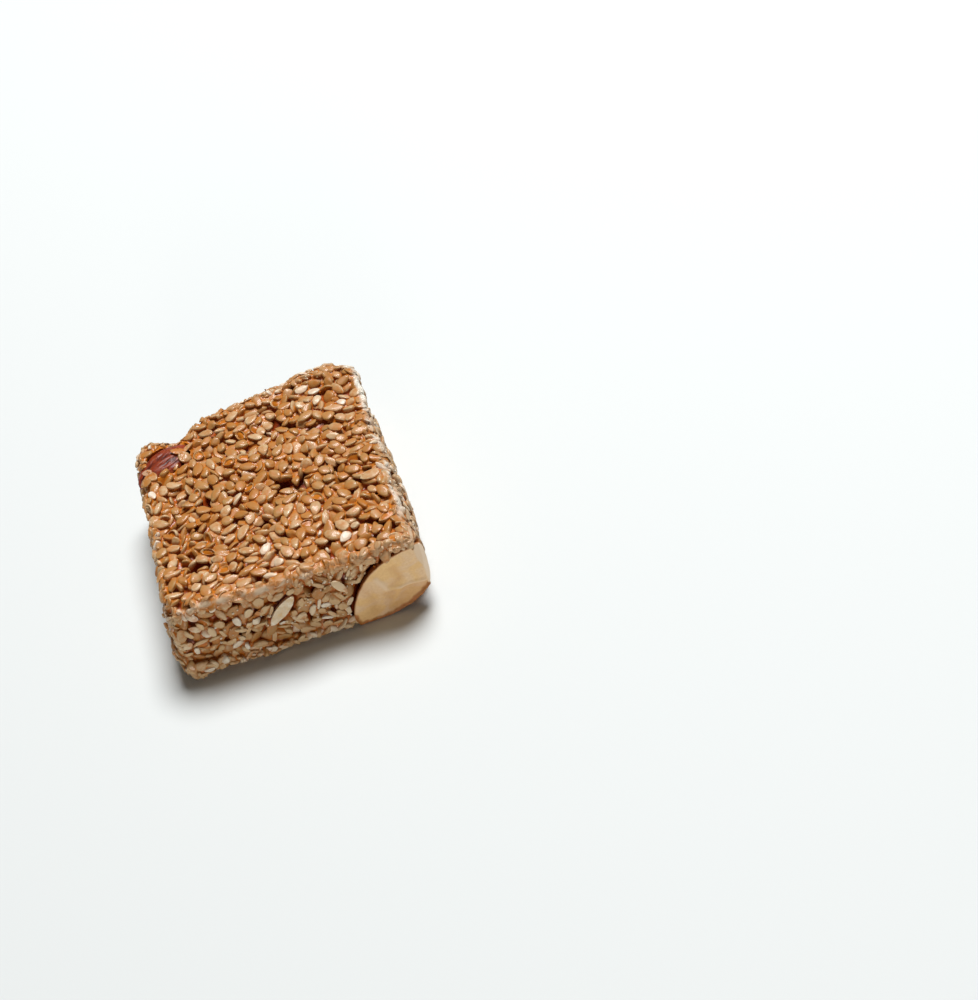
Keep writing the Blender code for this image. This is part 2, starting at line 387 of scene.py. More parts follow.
# Seeds left poking out along edges: the side, how high up it from where to where, across it from
# where to where, in millimetres, how many, how far out and the share of pale ones
EDGE_SEEDS = (
    ("front", (0.5, 1.9), (-25, 8.5), 40, 0.40, 0.5),
    ("front", (0.4, 1.3), (-25.5, -8), 22, 0.85, 0.6),
    ("back", (16.2, 17.6), (-24, 24), 34, 0.30, 0.05),
    ("left", (0.5, 1.8), (-20, 26), 20, 0.20, 0.4),
    ("right", (0.5, 1.8), (-18, 18), 16, 0.20, 0.4),
    ("back", (0.5, 1.8), (-24, 24), 22, 0.20, 0.4),
    ("left", (0.6, 7.5), (20, 28.5), 26, 0.95, 0.3),
    ("left", (0.6, 10), (8, 27), 24, 0.50, 0.3),
    ("front", (0.5, 4.0), (-25.7, -17), 22, 1.25, 0.45),
    ("back", (15.6, 17.8), (-25, 16), 40, 1.0, 0.05),
    ("left", (15.8, 17.6), (-25, -21), 8, 0.35, 0.6),
    ("back", (15.8, 17.6), (19, 24), 8, 0.60, 0.4),
)


def edge_seeds(rng, sizes):
    """Loose seeds along the edges that the knife tore."""
    made = []
    for name, ups, acrosses, count, out, pale in EDGE_SEEDS:
        ground = grounds()[name]
        for share in (np.arange(count) + rng.random(count)) / count:
            across = (acrosses[0] + share * (acrosses[1] - acrosses[0])) * MM
            up = rng.uniform(*ups) * MM
            cell = ground.cell_at((across, up))
            if not ground.open[cell]:
                continue
            middle = ground.axes.T @ (across, up, ground.skin[cell] + (out - 0.25) * MM)
            half = sizes * rng.normal(0.95, SIZE_SPREAD).clip(0.6, 1.2) / 2
            turn = ground.axes.T @ turned(rng, 45)
            kind = PALE if rng.random() < pale else GOLDEN
            stand_out = (out + 0.45) * MM
            made.append(Seed(kind, int(rng.integers(FORMS)), half, turn, middle, stand_out, rng.random()))
    return made


# The flake in the front: its two ends, across and up in millimetres, and its half width and thickness
FLAKE_ENDS = ((7.3, 14.1), (9.3, 10.2))
FLAKE_HALF = (0.85 * MM, 0.3 * MM)


def front_flake():
    ground = grounds()["front"]
    start, end = (Vector(place) * MM for place in FLAKE_ENDS)
    along = ((end - start) / 2).to_3d()
    middle = (start + end) / 2
    turn = np.column_stack((along.normalized(), Vector((0, 0, 1)).cross(along).normalized(), (0, 0, 1)))
    lift = ground.skin[ground.cell_at(middle)] + 0.1 * MM
    return Seed(PALE, 0, np.array((along.length, *FLAKE_HALF)), ground.axes.T @ turn,
                ground.axes.T @ (*middle, lift), 0.5 * MM, 0.2)


def kind_of(rng, side):
    draw = rng.random()
    pale_share = PALE_SHARE.get(side, CUT_PALE_SHARE)
    for kind, share in ((PALE, pale_share), (DARK, DARK_SHARE), (HULL, HULL_SHARE)):
        if draw < share:
            return kind
        draw -= share
    return GOLDEN


@functools.cache
def laid_seeds():
    """Every seed on the slab, side by side, and then those along the torn edges."""
    settings = bpy.context.scene.brittle_seeds
    rng = np.random.default_rng(settings.draw)
    sizes = np.array((settings.length, settings.width, settings.thickness))
    laid = {name: lay_on(ground, rng, sizes) for name, ground in grounds().items()}
    laid["edges"] = edge_seeds(rng, sizes) + [front_flake()]
    return laid


# ---------------------------------------------------------------- a seed's form

SEED_ROUND = 14
# A seed in section from the middle of one face, over its rim, to the middle of the other:
# how far out and how high, as shares of its half sizes
SEED_SECTION = (
    (0.00, 0.90), (0.40, 0.92), (0.64, 0.84), (0.77, 0.68), (0.87, 0.64),
    (0.96, 0.40), (1.00, 0.00), (0.90, -0.60), (0.60, -0.88), (0.00, -0.95),
)
HULL_SECTION = (
    (0.00, -0.30), (0.40, -0.22), (0.64, 0.15), (0.80, 0.75), (0.90, 0.95),
    (0.99, 0.60), (1.00, 0.00), (0.88, -0.70), (0.60, -0.92), (0.00, -0.95),
)
FORMS = 10
FORM_DRAW = 7  # where the uneven forms' noise starts; nought would take the clock


def seed_form(number, section):
    """The points of a seed of half sizes 1, pointed at its +X end and a little uneven, and its faces."""
    bm = bmesh.new()
    bmesh.ops.create_uvsphere(bm, u_segments=SEED_ROUND, v_segments=len(section) - 1, radius=1)
    draw = Vector((number * 3.7, number * 1.9, number * 5.3))
    bend, twist = noise.noise(draw) * 0.9, noise.noise(draw * 1.7) * 0.6
    for vert in bm.verts:
        ring = round(math.acos(max(-1, min(1, vert.co.z))) / math.pi * (len(section) - 1))
        out, height = section[ring]
        angle = math.atan2(vert.co.y, vert.co.x) if 0 < ring < len(section) - 1 else 0
        pointed = abs(math.sin(angle)) ** (0.35 * max(0, math.cos(angle)))
        x = out * math.cos(angle)
        y = out * math.sin(angle) * (1 - 0.2 * math.cos(angle)) * pointed
        vert.co = Vector((x, y + twist * x * x * 0.3, height + bend * x * x + twist * x * y))
        broad, fine = (noise.noise_vector(vert.co * scale + draw) for scale in (1.3, 3))
        vert.co += broad * 0.16 + fine * 0.05
    return taken(bm)


def crumb_form(number, _):
    """The points of a crumb of half sizes 1 and its faces."""
    bm = bmesh.new()
    bmesh.ops.create_icosphere(bm, subdivisions=1, radius=1)
    for vert in bm.verts:
        vert.co += noise.noise_vector(vert.co * 1.5 + Vector((number * 2.3, 0, number))) * 0.55
    return taken(bm)


def taken(bm):
    """The points and the three-cornered faces of a bmesh, in a steady order. The bmesh is let go."""
    bmesh.ops.triangulate(bm, faces=bm.faces[:])
    points = np.array([vert.co[:] for vert in bm.verts])
    faces = np.array([[vert.index for vert in face.verts] for face in bm.faces])
    bm.free()
    turns = (faces.argmin(1)[:, None] + np.arange(3)) % 3
    faces = np.take_along_axis(faces, turns, 1)
    return points, faces[np.lexsort(faces.T)]


FORM_MAKERS = {
    GOLDEN: (seed_form, SEED_SECTION),
    PALE: (seed_form, SEED_SECTION),
    DARK: (seed_form, SEED_SECTION),
    HULL: (seed_form, HULL_SECTION),
    CRUMB: (crumb_form, None),
}


@functools.cache
def forms_of(kind):
    maker, section = FORM_MAKERS[kind]
    noise.seed_set(FORM_DRAW)
    made = [maker(number, section) for number in range(FORMS)]
    return [points for points, _ in made], made[0][1]


# How far seeds may pass the top and the underside; on the cuts each has its own room
TRIM_ROOM = {"top": 0.5 * MM, "under": -0.02 * MM}


def trimmed(points, stand_out):
    """The points, brought back to the slab's sides where they pass them by more than stand_out, and
    which of them were."""
    cut = np.zeros(len(points), bool)
    for ground in grounds().values():
        local = points @ ground.axes.T
        limit = ground.limit[ground.cell_of(local)]
        allowed = limit + TRIM_ROOM.get(ground.side.name, stand_out)
        over = (limit > NOTHING) & (local[:, 2] > allowed)
        local[over, 2] = allowed[over]
        if ground.side.name != "top":
            cut |= over
        points = local @ ground.axes
    return points, cut


def mesh_from(name, points, faces):
    mesh = bpy.data.meshes.new(name)
    mesh.vertices.add(len(points))
    mesh.vertices.foreach_set("co", points.astype(np.float32).ravel())
    mesh.loops.add(faces.size)
    mesh.loops.foreach_set("vertex_index", faces.astype(np.int32).ravel())
    mesh.polygons.add(len(faces))
    mesh.polygons.foreach_set("loop_start", np.arange(0, faces.size, 3, dtype=np.int32))
    mesh.update(calc_edges=True)
    mesh.shade_smooth()
    return mesh


def paint(mesh, **values):
    """Stores a number for every point under each name, for the materials to read."""
    for name, numbers in values.items():
        layer = mesh.attributes.new(name, "FLOAT", "POINT")
        layer.data.foreach_set("value", np.asarray(numbers, np.float32))


def shaped(seeds):
    """The points and faces of all these seeds, in the forms of the first one's kind and trimmed to the
    slab, and which points were cut."""
    forms, faces = forms_of(seeds[0].kind)
    count = len(forms[0])
    points = np.concatenate([(forms[seed.form] * seed.half) @ seed.turn.T + seed.middle for seed in seeds])
    points, cut = trimmed(points, np.repeat([seed.stand_out for seed in seeds], count))
    return points, np.concatenate([faces + count * k for k in range(len(seeds))]), cut


def seeds_mesh(name, seeds):
    """One mesh of all these seeds of one kind, with their tones and cuts."""
    points, faces, cut = shaped(seeds)
    mesh = mesh_from(name, points, faces)
    paint(mesh, tone=np.repeat([seed.tone for seed in seeds], len(points) // len(seeds)), cut=cut)
    return mesh


def numbers_of(items, name):
    """Three numbers for each item."""
    numbers = np.zeros(len(items) * 3, np.float32)
    items.foreach_get(name, numbers)
    return numbers.reshape(-1, 3).astype(float)


def points_of(mesh):
    return numbers_of(mesh.vertices, "co")


def normals_of(mesh):
    return numbers_of(mesh.vertex_normals, "vector")


def move_to(mesh, points):
    mesh.vertices.foreach_set("co", points.astype(np.float32).ravel())
    mesh.update()


def push(mesh, amounts):
    """Moves every point out along its normal by its amount."""
    move_to(mesh, points_of(mesh) + normals_of(mesh) * np.asarray(amounts)[:, None])


def uneven(points, size, stretch=(1, 1, 1), turn=0.0, octaves=2):
    """Noise at each point, between about -1 and 1, in marks of about this size."""
    spin = Matrix.Rotation(-turn, 3, "Z")
    scale = Vector(stretch) / size
    values = []
    for point in points:
        place = spin @ Vector(point)
        values.append(noise.fractal(Vector(a * b for a, b in zip(place, scale)), 1.0, 2.0, octaves))
    return np.array(values)


# ---------------------------------------------------------------- pieces and materials

def shown(name, data):
    """A new object in the scene."""
    made = bpy.data.objects.new(name, data)
    bpy.context.scene.collection.objects.link(made)
    return made


def placed(name, mesh, material):
    """Shows a mesh as one piece of the slab, with the material that it takes its finish from."""
    piece = shown(name, mesh)
    mesh.materials.clear()
    mesh.materials.append(material)
    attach(piece, "root")
    return piece


def with_modifiers(mesh, *modifiers):
    """The mesh after these modifiers, each a type and its settings."""
    helper = shown("helper", mesh)
    for kind, settings in modifiers:
        modifier = helper.modifiers.new(kind, kind)
        for name, value in settings.items():
            setattr(modifier, name, value)
    depsgraph = bpy.context.evaluated_depsgraph_get()
    made = bpy.data.meshes.new_from_object(helper.evaluated_get(depsgraph))
    bpy.data.objects.remove(helper)
    made.shade_smooth()
    return made


class Nodes:
    """A material's node tree, with short calls for the nodes that the finishes share."""

    def __init__(self, name, **plain):
        self.material = bpy.data.materials.new(name)
        self.material.use_nodes = True
        self.tree = self.material.node_tree
        self.shader = self.tree.nodes["Principled BSDF"]
        for socket, value in plain.items():
            self.shader.inputs[socket.replace("_", " ")].default_value = value
        self.coordinates = self.tree.nodes.new("ShaderNodeTexCoord").outputs["Object"]
        self.colours = bpy.context.scene.brittle_colours

    def link(self, source, target):
        if isinstance(source, (int, float)):
            target.default_value = source
        elif isinstance(source, (tuple, Color)):
            target.default_value = (*source[:3], 1)
        else:
            self.tree.links.new(source, target)

    def value(self, name):
        node = self.node("ShaderNodeAttribute")
        node.attribute_name = name
        return node.outputs["Fac"]

    def node(self, kind, **plain):
        """A new node with these plain values."""
        node = self.tree.nodes.new(kind)
        for socket, value in plain.items():
            node.inputs[socket.replace("_", " ")].default_value = value
        return node

    def grain(self, size, detail=3, rough=0.5, distortion=0.0):
        """Noise whose marks are about this size."""
        node = self.node("ShaderNodeTexNoise", Scale=1 / size, Detail=detail, Roughness=rough,
                         Distortion=distortion)
        self.tree.links.new(self.coordinates, node.inputs["Vector"])
        return node.outputs["Fac"]

    def sums(self, operation, first, second):
        node = self.node("ShaderNodeMath")
        node.operation = operation
        self.link(first, node.inputs[0])
        self.link(second, node.inputs[1])
        return node.outputs[0]

    def ranged(self, source, low, high, to_low=0.0, to_high=1.0):
        node = self.node("ShaderNodeMapRange", From_Min=low, From_Max=high, To_Min=to_low, To_Max=to_high)
        self.link(source, node.inputs["Value"])
        return node.outputs["Result"]

    def mixed(self, share, first, second, blend="MIX"):
        node = self.node("ShaderNodeMix")
        node.data_type = "RGBA"
        node.blend_type = blend
        self.link(share, node.inputs[0])
        self.link(first, node.inputs[6])
        self.link(second, node.inputs[7])
        return node.outputs[2]

    def bump(self, height, strength, distance):
        node = self.node("ShaderNodeBump", Strength=strength, Distance=distance)
        self.tree.links.new(height, node.inputs["Height"])
        self.tree.links.new(node.outputs["Normal"], self.shader.inputs["Normal"])

    def finish(self, colour, roughness):
        self.link(colour, self.shader.inputs["Base Color"])
        self.link(roughness, self.shader.inputs["Roughness"])
        return self.material


def dusted(nodes, colour, gloss):
    """The colour under the painted dust and the sugar film, whose strip along the right edge is also a
    painted highlight, in uneven smears, and how rough it is.
    """
    colours = nodes.colours
    dust = nodes.value("dust")
    smears = nodes.ranged(nodes.grain(1.1 * MM, 4, 0.65), 0.42, 0.6)
    smears = nodes.sums("MAXIMUM", smears, nodes.ranged(dust, 0.6, 0.95))
    share = nodes.sums("MULTIPLY", dust, smears)
    sugar = nodes.ranged(nodes.value("sugar"), 0.25, 0.8)
    colour = nodes.mixed(sugar, nodes.mixed(share, colour, colours.dust), colours.sugar)
    return colour, nodes.ranged(share, 0, 1, gloss, 0.75)


@functools.cache
def seed_material(dark=False):
    nodes = Nodes("dark_sesame" if dark else "roasted_sesame", Specular_IOR_Level=0.35,
                  Coat_Weight=0.22, Coat_Roughness=0.1)
    colours = nodes.colours
    tone = nodes.value("tone")
    if dark:
        colour = nodes.mixed(tone, colours.seed, colours.dark_seed)
    else:
        colour = nodes.mixed(nodes.ranged(tone, 0.0, 0.6), colours.light_seed, colours.seed)
        colour = nodes.mixed(nodes.ranged(tone, 0.7, 1.2), colour, colours.dark_seed)
    patches = nodes.ranged(nodes.grain(8 * MM, 2), 0.45, 0.65, 0, 0.35)
    colour = nodes.mixed(patches, colour, colours.dark_seed)
    mottle = nodes.ranged(nodes.grain(0.8 * MM, 4, 0.6), 0.42, 0.66)
    colour = nodes.mixed(nodes.sums("MULTIPLY", mottle, 0.45), colour, colours.dark_seed)
    inside = nodes.mixed(nodes.grain(0.5 * MM, 3), colours.cut_seed, colours.light_seed)
    colour = nodes.mixed(nodes.sums("MULTIPLY", nodes.value("cut"), 0.7), colour, inside)
    ragged = nodes.ranged(nodes.grain(1.6 * MM, 3, 0.6), 0.35, 0.65, -0.3, 0.25)
    film = nodes.ranged(nodes.sums("ADD", nodes.value("coat"), ragged), 0, 1, 0, 0.8)
    colour = nodes.mixed(film, colour, colours.caramel)
    colour, gloss = dusted(nodes, colour, 0.45)
    nodes.bump(nodes.grain(0.28 * MM, 3, 0.6), 0.25, 0.06 * MM)
    return nodes.finish(colour, gloss)


@functools.cache
def pale_seed_material():
    nodes = Nodes("pale_sesame", Specular_IOR_Level=0.5, Coat_Weight=0.2, Coat_Roughness=0.25)
    colours = nodes.colours
    colour = nodes.mixed(nodes.value("tone"), colours.cut_seed, colours.pale_seed)
    stains = nodes.ranged(nodes.grain(0.7 * MM, 4, 0.6), 0.5, 0.75, 0, 0.5)
    colour = nodes.mixed(stains, colour, colours.light_seed)
    coat = nodes.sums("MULTIPLY", nodes.value("coat"), 0.6)
    colour = nodes.mixed(coat, colour, colours.caramel)
    nodes.bump(nodes.grain(0.3 * MM, 3, 0.6), 0.3, 0.06 * MM)
    return nodes.finish(colour, 0.42)


@functools.cache
def caramel_material():
    nodes = Nodes("caramel", Specular_IOR_Level=0.3, Coat_Weight=0.08, Coat_Roughness=0.12)
    colours = nodes.colours
    patches = nodes.ranged(nodes.grain(2.4 * MM), 0.3, 0.7, -0.2, 0.2)
    # Painted shade: the caramel is darkened the deeper it lies under the slab's sides, in the gaps and
    # voids, with some random patches
    deep = nodes.sums("ADD", nodes.value("deep"), patches)
    colour = nodes.mixed(nodes.ranged(deep, 0.25, 1.0), colours.caramel, colours.recess_shaded_caramel)
    colour, gloss = dusted(nodes, colour, 0.3)
    nodes.bump(nodes.grain(0.6 * MM, 3, 0.6), 0.3, 0.1 * MM)
    return nodes.finish(colour, gloss)


# ---------------------------------------------------------------- the finish of places on the slab

SMEAR_LEVEL = 16.3 * MM  # how high up the cuts the top's edges are read


def smooth(low, high, values):
    share = np.clip((values - low) / (high - low), 0, 1)
    return share * share * (3 - 2 * share)


def dust_on(points):
    """How dusty each place is: the cuts are, and of the top only its front and right edges."""
    low, high = (np.array(corner) for corner in CAD_BOX)
    front = 1 - smooth(low[1] + 0.8 * MM, low[1] + 2.6 * MM, points[:, 1])
    back = smooth(high[1] - 4.0 * MM, high[1] - 2.0 * MM, points[:, 1])
    left = 1 - smooth(low[0] + 1.4 * MM, low[0] + 2.6 * MM, points[:, 0])
    right = smooth(high[0] - 3.4 * MM, high[0] - 1.6 * MM, points[:, 0])
    height = points[:, 2] / high[2]
    edge = smooth(0.72, 0.95, height)
    sides = np.maximum.reduce([front * (0.4 + 0.5 * edge), 0.5 * back, 0.45 * left, 0.9 * right])
    from_front = points[:, 1] - low[1]
    top_front = (1 - smooth(1.5 * MM, 5.5 * MM, from_front)) * smooth(-6 * MM, 12 * MM, points[:, 0])
    return np.maximum.reduce([sides, 0.75 * top_front * edge, smear_on(points)]).clip(0, 1)


def edge_at(ground, places):
    """Where one cut stands at each of these places along it, just under the top."""
    return ground.limit[ground.cell_of(np.column_stack((places, np.full(len(places), SMEAR_LEVEL))))]


def sugar_on(points):
    """How much each place is part of the pale film at the top of the right side, which is also a painted
    highlight, or of the smear.
    """
    from_edge = points[:, 0] - edge_at(grounds()["right"], points[:, 1])
    height = points[:, 2] / CAD_BOX[1][2]
    film = smooth(0.78, 0.9, height) * smooth(-1.5 * MM, -0.5 * MM, from_edge)
    film = film * (1 - smooth(0.985, 1.02, height)) * smooth(-25 * MM, -22 * MM, points[:, 1])
    patches = 0.6 + 0.8 * uneven(points, 6 * MM)
    return np.maximum(np.where(film > 0.01, film * patches, 0), 0.5 * smear_on(points)).clip(0, 1)


def smear_on(points):
    """How much each place is part of the film smeared along the top's front and right edges."""
    across, up = points[:, 0], points[:, 1]
    edge_y = -edge_at(grounds()["front"], across)
    edge_x = edge_at(grounds()["right"], up)
    top = grounds()["top"]
    inside = np.column_stack((across.clip(-1, edge_x - 1.2 * MM), up.clip(edge_y + 1.2 * MM, 1)))
    drop = points[:, 2] - top.limit[top.cell_of(inside)] + 0.6 * MM
    from_front = np.hypot(up - edge_y - 0.5 * MM, drop)
    from_right = np.hypot(across - edge_x + 0.4 * MM, drop)
    near = np.exp(-(from_front / (1.1 * MM)) ** 2) * smooth(-24 * MM, -20 * MM, across)
    near = near * (1 - 0.4 * smooth(2 * MM, 8 * MM, across))
    near = np.maximum(near, 0.8 * np.exp(-(from_right / (0.7 * MM)) ** 2))
    return np.where(near > 0.02, near * (0.75 + 0.5 * uneven(points, 2.5 * MM)), 0).clip(0, 1)


def depth_under(points):
    """How far each place is under the slab's nearest side."""
    depth = np.full(len(points), 1.0)
    for ground in grounds().values():
        local = points @ ground.axes.T
        limit = ground.limit[ground.cell_of(local)]
        depth = np.where(limit > NOTHING, np.minimum(depth, limit - local[:, 2]), depth)
    return depth


# ---------------------------------------------------------------- caramel

CARAMEL = "caramel"
CORE_DEPTH = 1.3 * MM  # how far the core is drawn in under the seeds
ON_SIDE = 0.5 * MM  # what lies this near a side's height is on it
POCKET_REACH = 0.5 * MM  # what lies this near a nut is its pocket
CREVICE = 0.5 * MM  # the caramel shrank this far from the nuts
SLIVER_CREVICE = 0.25 * MM
CARAMEL_VOXEL = 0.32 * MM
COAT_REACH = 0.42 * MM  # caramel creeps this far up the seeds
LEAST_OUT = 0.05 * MM  # a seed that no point of stands out this far is hidden in it


def hollow_at(place):
    """How much deeper the caramel lies at this place of the slab's surface, in a hole."""
    for ground in grounds().values():
        across, up, out = ground.axes @ place
        limit = ground.limit[ground.cell_at((across, up))]
        if abs(limit - out) < ON_SIDE:
            for *middle, radius in ground.holes:
                if math.dist(middle, (across, up)) < radius + VOID_RIM:
                    return VOID_DEPTH
    return 0.0


def core_shape():
    """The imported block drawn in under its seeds, but less in the pockets that hold the nuts."""
    pockets = ((tree_of("nut_half", "red_nut"), CREVICE), (tree_of("nut_sliver"), SLIVER_CREVICE))
    bm = bmesh.new()
    bm.from_mesh(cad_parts["sesame_slab"].data)
    bmesh.ops.remove_doubles(bm, verts=bm.verts, dist=0.01 * MM)
    bm.normal_update()
    moves = []
    for vert in bm.verts:
        near = [inward for nut, inward in pockets if nut.find_nearest(vert.co)[3] < POCKET_REACH]
        inward = near[0] if near else CORE_DEPTH + hollow_at(vert.co)
        moves.append(vert.co - vert.normal * inward)
    for vert, co in zip(bm.verts, moves):
        vert.co = co
    return taken(bm)


def caramel_mesh():
    """Caramel over the core and between the seeds, drawn back so that the seeds stand out of it."""
    core, core_faces = core_shape()
    seeds, seed_faces, _ = shaped(list(itertools.chain(*laid_seeds().values())))
    points = np.concatenate((core, seeds))
    made = with_modifiers(
        mesh_from(CARAMEL, points, np.concatenate((core_faces, seed_faces + len(core)))),
        ("REMESH", {"mode": "VOXEL", "voxel_size": CARAMEL_VOXEL}),
        ("SMOOTH", {"factor": 0.5, "iterations": 6}),
        ("DISPLACE", {"strength": -0.17 * MM, "mid_level": 0.0}),
        ("DECIMATE", {"ratio": 0.5}),
    )
    smear = smear_on(points_of(made))
    on_cuts = 1 - np.abs(normals_of(made)[:, 2])
    push(made, 0.35 * MM * smear - 0.16 * MM * on_cuts * (1 - smear))
    return made


@functools.cache
def caramel_tree():
    mesh = bpy.data.objects[CARAMEL].data
    faces = [face.vertices for face in mesh.polygons]
    return BVHTree.FromPolygons([vert.co for vert in mesh.vertices], faces)


def height_over_caramel(points):
    """How far each place is out of the caramel; below nought it is sunk in it."""
    heights = []
    for place in map(Vector, points):
        near, normal, _, away = caramel_tree().find_nearest(place)
        heights.append(away if (place - near).dot(normal) > 0 else -away)
    return np.array(heights)


class BRITTLE_OT_caramel(bpy.types.Operator):
    """Pours caramel round the seeds and the nuts' pockets"""

    bl_idname = "brittle.caramel"
    bl_label = "Caramel"

    def execute(self, context):
        mesh = caramel_mesh()
        points = points_of(mesh)
        dust = np.maximum(0.45 * dust_on(points), (1.4 * smear_on(points)).clip(0, 1))
        # deep is the depth under the sides, which the caramel's material turns into painted shade in the
        # gaps and voids
        paint(mesh, deep=depth_under(points) / (1.6 * MM), dust=dust, sugar=sugar_on(points))
        piece = placed(CARAMEL, mesh, caramel_material())
        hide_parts("sesame_slab")
        return {"FINISHED"}


def seeds_piece(name, seeds, material):
    """Shows these seeds of one kind as one piece, without those that the caramel hides."""
    mesh = seeds_mesh(name, seeds)
    out = height_over_caramel(points_of(mesh)).reshape(len(seeds), -1)
    seen = out.max(1) > LEAST_OUT
    if not seen.all():
        bpy.data.meshes.remove(mesh)
        mesh = seeds_mesh(name, [seed for seed, is_seen in zip(seeds, seen) if is_seen])
    points = points_of(mesh)
    coat = 1 - smooth(0, COAT_REACH, out[seen].ravel())
    paint(mesh, coat=coat, dust=dust_on(points), sugar=sugar_on(points))
    return placed(name, mesh, material)


class BRITTLE_OT_seeds(bpy.types.Operator):
    """Sets the roasted seeds in the caramel, on every side"""

    bl_idname = "brittle.seeds"
    bl_label = "Seeds"

    def execute(self, context):
        laid = laid_seeds()
        cuts = ("front", "back", "left", "right")
        for name, kind, sides, material in (
            ("golden_seeds", GOLDEN, ("top",), seed_material()),
            ("cut_seeds", GOLDEN, cuts, seed_material()),
            ("edge_seeds", GOLDEN, ("edges",), seed_material()),
            ("rolled_seeds", GOLDEN, ("under",), seed_material()),
            ("pale_seeds", PALE, laid, pale_seed_material()),
            ("dark_seeds", DARK, laid, seed_material(dark=True)),
            ("curled_hulls", HULL, laid, seed_material()),
        ):
            seeds = [seed for side in sides for seed in laid[side] if seed.kind == kind]
            seeds_piece(name, seeds, material)
        return {"FINISHED"}


# ---------------------------------------------------------------- crumbs

CRUMBS = {"top": 90, "front": 260, "back": 150, "left": 130, "right": 190, "under": 0}
CRUMB_HALF = (0.14 * MM, 0.42 * MM)
CRUMB_MISS = 0.05  # a place without dust counts for this much of a crumb, so the search ends


def laid_crumbs(rng):
    """Crumbs that the knife left on the cuts, in their dents, and on the dusty edges of the top."""
    crumbs = []
    for name, ground in grounds().items():
        spots = np.argwhere(ground.open)
        count = 0
        while count < CRUMBS[name]:
            cell = tuple(spots[rng.integers(len(spots))])
            height = ground.heap[cell]
            middle = ground.axes.T @ (*ground.middle_of(cell), height)
            if dust_on(middle[None])[0] < rng.uniform(0.1, 0.7) or height > ground.skin[cell]:
                count += CRUMB_MISS
                continue
            half = rng.uniform(*CRUMB_HALF) * rng.uniform(0.6, 1.2, 3)
            crumbs.append(Seed(CRUMB, int(rng.integers(FORMS)), half, turned(rng, 60), middle,
                               0.2 * MM, rng.random()))
            count += 1
    return crumbs


class BRITTLE_OT_crumbs(bpy.types.Operator):
    """Leaves crumbs of seed and sugar on the cuts"""

    bl_idname = "brittle.crumbs"
    bl_label = "Crumbs"

    def execute(self, context):
        rng = np.random.default_rng(context.scene.brittle_seeds.draw + 1)
        seeds_piece("crumbs", laid_crumbs(rng), pale_seed_material())
        return {"FINISHED"}


# ---------------------------------------------------------------- nuts

# Folds of the split face: a line across and up it, its width and how far it stands out, in millimetres
SPLIT_FOLDS = (
    (((15.1, 10.6), (16.3, 7.1), (19.1, 6.2), (20.9, 6.2), (23.8, 5.6)), 0.6, 0.38),
    (((18.8, 11.9), (19.3, 9.1), (17.6, 7.4)), 0.8, -0.28),
    (((12.0, 9.5), (13.2, 5.5), (12.8, 2.5)), 1.1, -0.22),
    (((19.1, 6.2), (17.0, 3.2)), 0.7, 0.18),
)
NUT_FRONT = -28.7  # where the nut half's face stands, in millimetres
RED_NUT_TURN = math.radians(33)  # which way its wrinkles run


def nut_mesh(node, voxel):
    """A packed nut in fine faces with softer edges."""
    bm = bmesh.new()
    bm.from_mesh(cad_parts[node].data)
    bmesh.ops.remove_doubles(bm, verts=bm.verts, dist=0.002 * MM)
    mesh = bpy.data.meshes.new(node)
    bm.to_mesh(mesh)
    bm.free()
    return with_modifiers(mesh, ("REMESH", {"mode": "VOXEL", "voxel_size": voxel}),
                          ("SMOOTH", {"factor": 0.5, "iterations": 3}))


def line_away(across, up, line):
    """How far each place is from a broken line."""
    away = np.full(len(across), np.inf)
    for (x0, y0), (x1, y1) in zip(line, line[1:]):
        run = np.array((x1 - x0, y1 - y0))
        share = ((across - x0) * run[0] + (up - y0) * run[1]) / (run @ run)
        share = share.clip(0, 1)
        away = np.minimum(away, np.hypot(across - x0 - share * run[0], up - y0 - share * run[1]))
    return away


class BRITTLE_OT_nut_half(bpy.types.Operator):
    """Makes the nut half that the knife left in the front right corner"""

    bl_idname = "brittle.nut_half"
    bl_label = "Nut half"

    def execute(self, context):
        mesh = nut_mesh("nut_half", 0.17 * MM)
        points, normals = points_of(mesh), normals_of(mesh)
        front = smooth(0.3, 0.8, -normals[:, 1])
        across, up = points[:, 0] / MM, points[:, 2] / MM
        relief = 0.05 * uneven(points, 2.2 * MM) + 0.025 * uneven(points, 0.7 * MM)
        for line, width, height in SPLIT_FOLDS:
            relief = relief + front * height * np.exp(-(line_away(across, up, line) / width) ** 2)
        below = smooth(0, 3.2, 8.4 - 0.12 * (across - 16) - up) * smooth(14, 17, across)
        relief = relief - 0.35 * front * below - 0.15 * front
        rim = rim_away(points, normals)
        ragged = 0.22 * uneven(points, 1.1 * MM, octaves=3)
        skin = 1 - smooth(0.55, 0.95, rim + ragged)
        skin = np.maximum(skin, (1 - front) * (normals[:, 0] < 0.75))
        relief = relief + 0.10 * skin * (1 + uneven(points, 0.5 * MM))
        push(mesh, relief * MM)
        bevel = trim_nut(mesh)
        fresh = np.maximum(smooth(0.6, 0.85, normals[:, 0]), bevel)
        # The relief is kept for the material, which paints a highlight on the ridges and shade in the
        # hollows from it
        paint(mesh, skin=skin * (1 - bevel), fresh=fresh, fold=relief)
        piece = placed("nut_half_split", mesh, nut_material())
        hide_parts("nut_half")
        return {"FINISHED"}


def trim_nut(mesh):
    """Slants the cut at the nut's right edge, lifts its rim there, and gives how far each point is on
    the slant."""
    points = points_of(mesh)
    across, along, up = points.T / MM
    slant = NUT_FRONT + 0.9 * (across - 25.4 + 1.9 * smooth(4, 14, up))
    bevel = smooth(-0.05, 0.1, slant - along)
    along = np.maximum(along, slant)
    lift = 1.1 * smooth(15, 21, across) * (1 - smooth(24, 27, across)) * (1 - smooth(3, 9, up))
    up = up + lift * (1 - smooth(-28, -22, along))
    move_to(mesh, np.column_stack((across, along, up)) * MM)
    return bevel


